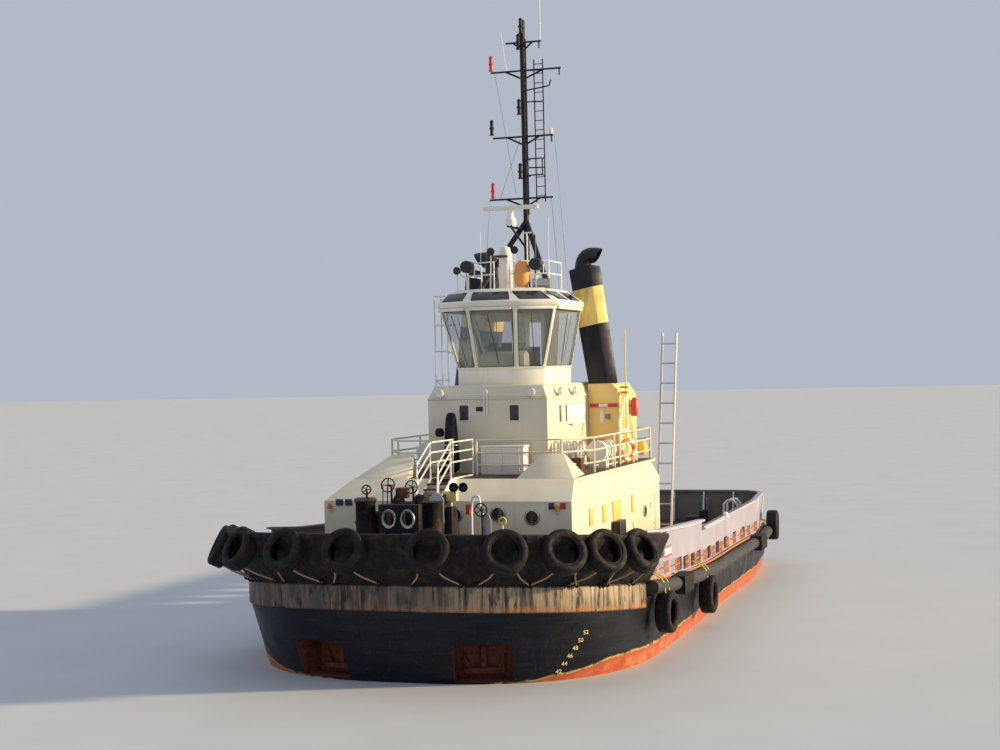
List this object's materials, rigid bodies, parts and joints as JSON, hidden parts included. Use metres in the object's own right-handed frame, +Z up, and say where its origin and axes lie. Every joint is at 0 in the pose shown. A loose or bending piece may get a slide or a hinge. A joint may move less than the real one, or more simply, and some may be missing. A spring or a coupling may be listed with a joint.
{
  "type": "harbour tugboat",
  "caption": "Harbour tug with a full round bow hung with tyres, stepped deckhouse, octagonal wheelhouse, leaning funnels, lattice mast and azimuth thrusters.",
  "frame": {"origin": "on the waterline, amidships, on the centreline", "axes": "+X towards the bow, +Y to port, +Z up"},
  "size_m": [29.366, 12.8274, 24.17],
  "materials": {
    "hull_paint": "navy hull paint with an orange-red boot top, scuffed and streaked",
    "anchor_iron": "rusty iron",
    "bare_steel": "paint worn to bare steel, with upright rub marks",
    "fender_rubber": "worn black rubber",
    "bulwark_paint": "pale lilac grey paint with rust streaks",
    "bulwark_dark": "dark brown grey paint",
    "cream_paint": "satin cream paint with rust runs",
    "white_paint": "satin white paint",
    "white_plastic": "white moulded shell",
    "window_glass": "clear",
    "console_grey": "matt",
    "seat_cover": "black leathercloth",
    "yellow_paint": "satin ochre yellow paint",
    "black_paint": "satin black paint",
    "deck_gear": "black paint with rust",
    "ladder_alloy": "dull alloy",
    "thruster_paint": "dark red antifouling",
    "bronze": "polished bronze"
  },
  "bodies": {
    "boat": {"hull": "hull_paint", "anchor_port": "anchor_iron", "anchor_starboard": "anchor_iron", "belt": "bare_steel", "bow_fender": "fender_rubber", "fender_port": "fender_rubber", "fender_starboard": "fender_rubber", "bulwark_port": "bulwark_paint", "bulwark_starboard": "bulwark_paint", "bulwark_stern": "bulwark_dark", "lower_house": "cream_paint", "boat_deck": "cream_paint", "front_stairs": "white_paint", "upper_house": "cream_paint", "bridge_deck": "cream_paint", "wheelhouse_base": "cream_paint", "wheelhouse_frame": "cream_paint", "wheelhouse_glass": "window_glass", "wheelhouse_roof": "cream_paint", "console": "console_grey", "helm_chair_port": "seat_cover", "helm_chair_starboard": "seat_cover", "funnel_casing_port": "yellow_paint", "funnel_casing_starboard": "yellow_paint", "funnel_port": "black_paint", "funnel_starboard": "black_paint", "mast": "black_paint", "roof_dome": "white_paint", "winch_frame": "deck_gear", "fairlead": "deck_gear", "windlass_frame": "deck_gear", "bitts_bow_port": "deck_gear", "bitts_bow_starboard": "deck_gear", "bitts_aft_port": "deck_gear", "bitts_aft_starboard": "deck_gear", "locker": "white_paint", "life_raft_port": "white_plastic", "life_raft_starboard": "white_plastic", "gangway": "ladder_alloy", "tow_hook_post": "deck_gear", "towing_hoop": "white_paint"},
    "house_door_port": {"house_door_port": "cream_paint"},
    "house_door_starboard": {"house_door_starboard": "cream_paint"},
    "upper_house_door": {"upper_house_door": "cream_paint"},
    "wheelhouse_door": {"wheelhouse_door": "cream_paint"},
    "locker_lid": {"locker_lid": "white_paint"},
    "radar_scanner": {"radar_scanner": "white_paint"},
    "searchlight_port": {"searchlight_port": "black_paint"},
    "searchlight_starboard": {"searchlight_starboard": "black_paint"},
    "winch_drum": {"winch_drum": "deck_gear"},
    "windlass_barrel": {"windlass_barrel": "deck_gear"},
    "tow_hook": {"tow_hook": "anchor_iron"},
    "thruster_port": {"thruster_port": "thruster_paint"},
    "thruster_starboard": {"thruster_starboard": "thruster_paint"},
    "propeller_port": {"propeller_port": "bronze"},
    "propeller_starboard": {"propeller_starboard": "bronze"}
  },
  "joints": [
    {"name": "thruster_port_azimuth", "type": "hinge", "parent": "boat", "child": "thruster_port", "pos_m": [-11, 2.6, -3], "axis": [0, 0, 1], "continuous": true},
    {"name": "thruster_starboard_azimuth", "type": "hinge", "parent": "boat", "child": "thruster_starboard", "pos_m": [-11, -2.6, -3], "axis": [0, 0, 1], "continuous": true},
    {"name": "propeller_port_spin", "type": "hinge", "parent": "thruster_port", "child": "propeller_port", "pos_m": [-11.65, 2.6, -3], "axis": [1, 0, 0], "continuous": true},
    {"name": "propeller_starboard_spin", "type": "hinge", "parent": "thruster_starboard", "child": "propeller_starboard", "pos_m": [-11.65, -2.6, -3], "axis": [1, 0, 0], "continuous": true},
    {"name": "radar_spin", "type": "hinge", "parent": "boat", "child": "radar_scanner", "pos_m": [2.8, -0.15, 12.64], "axis": [0, 0, 1], "continuous": true},
    {"name": "searchlight_port_tilt", "type": "hinge", "parent": "boat", "child": "searchlight_port", "pos_m": [4.3, 1.1, 11.05], "axis": [0, 1, 0], "range_deg": [-60, 30]},
    {"name": "searchlight_starboard_tilt", "type": "hinge", "parent": "boat", "child": "searchlight_starboard", "pos_m": [4.3, -1.1, 11.05], "axis": [0, 1, 0], "range_deg": [-60, 30]},
    {"name": "winch_drum_spin", "type": "hinge", "parent": "boat", "child": "winch_drum", "pos_m": [10.9, -0.25, 4.08], "axis": [0, 1, 0], "continuous": true},
    {"name": "windlass_spin", "type": "hinge", "parent": "boat", "child": "windlass_barrel", "pos_m": [10.75, 2.4, 2.95], "axis": [0, 1, 0], "continuous": true},
    {"name": "tow_hook_swing", "type": "hinge", "parent": "boat", "child": "tow_hook", "pos_m": [-3.8, 0, 2.65], "axis": [0, 0, 1], "range_deg": [-80, 80]},
    {"name": "house_door_port_hinge", "type": "hinge", "parent": "boat", "child": "house_door_port", "pos_m": [0.65, 3.618, 2.9], "axis": [0, 0, -1], "range_deg": [0, 110]},
    {"name": "house_door_starboard_hinge", "type": "hinge", "parent": "boat", "child": "house_door_starboard", "pos_m": [0.65, -3.618, 2.9], "axis": [0, 0, 1], "range_deg": [0, 110]},
    {"name": "upper_house_door_hinge", "type": "hinge", "parent": "boat", "child": "upper_house_door", "pos_m": [-0.618, 0.35, 5.9], "axis": [0, 0, -1], "range_deg": [0, 105]},
    {"name": "wheelhouse_door_hinge", "type": "hinge", "parent": "boat", "child": "wheelhouse_door", "pos_m": [0.882, 0.33, 8.5], "axis": [0, 0, -1], "range_deg": [0, 105]},
    {"name": "locker_lid_hinge", "type": "hinge", "parent": "boat", "child": "locker_lid", "pos_m": [6.15, 0.65, 5.6303], "axis": [0, -1, 0], "range_deg": [0, 85]}
  ]
}
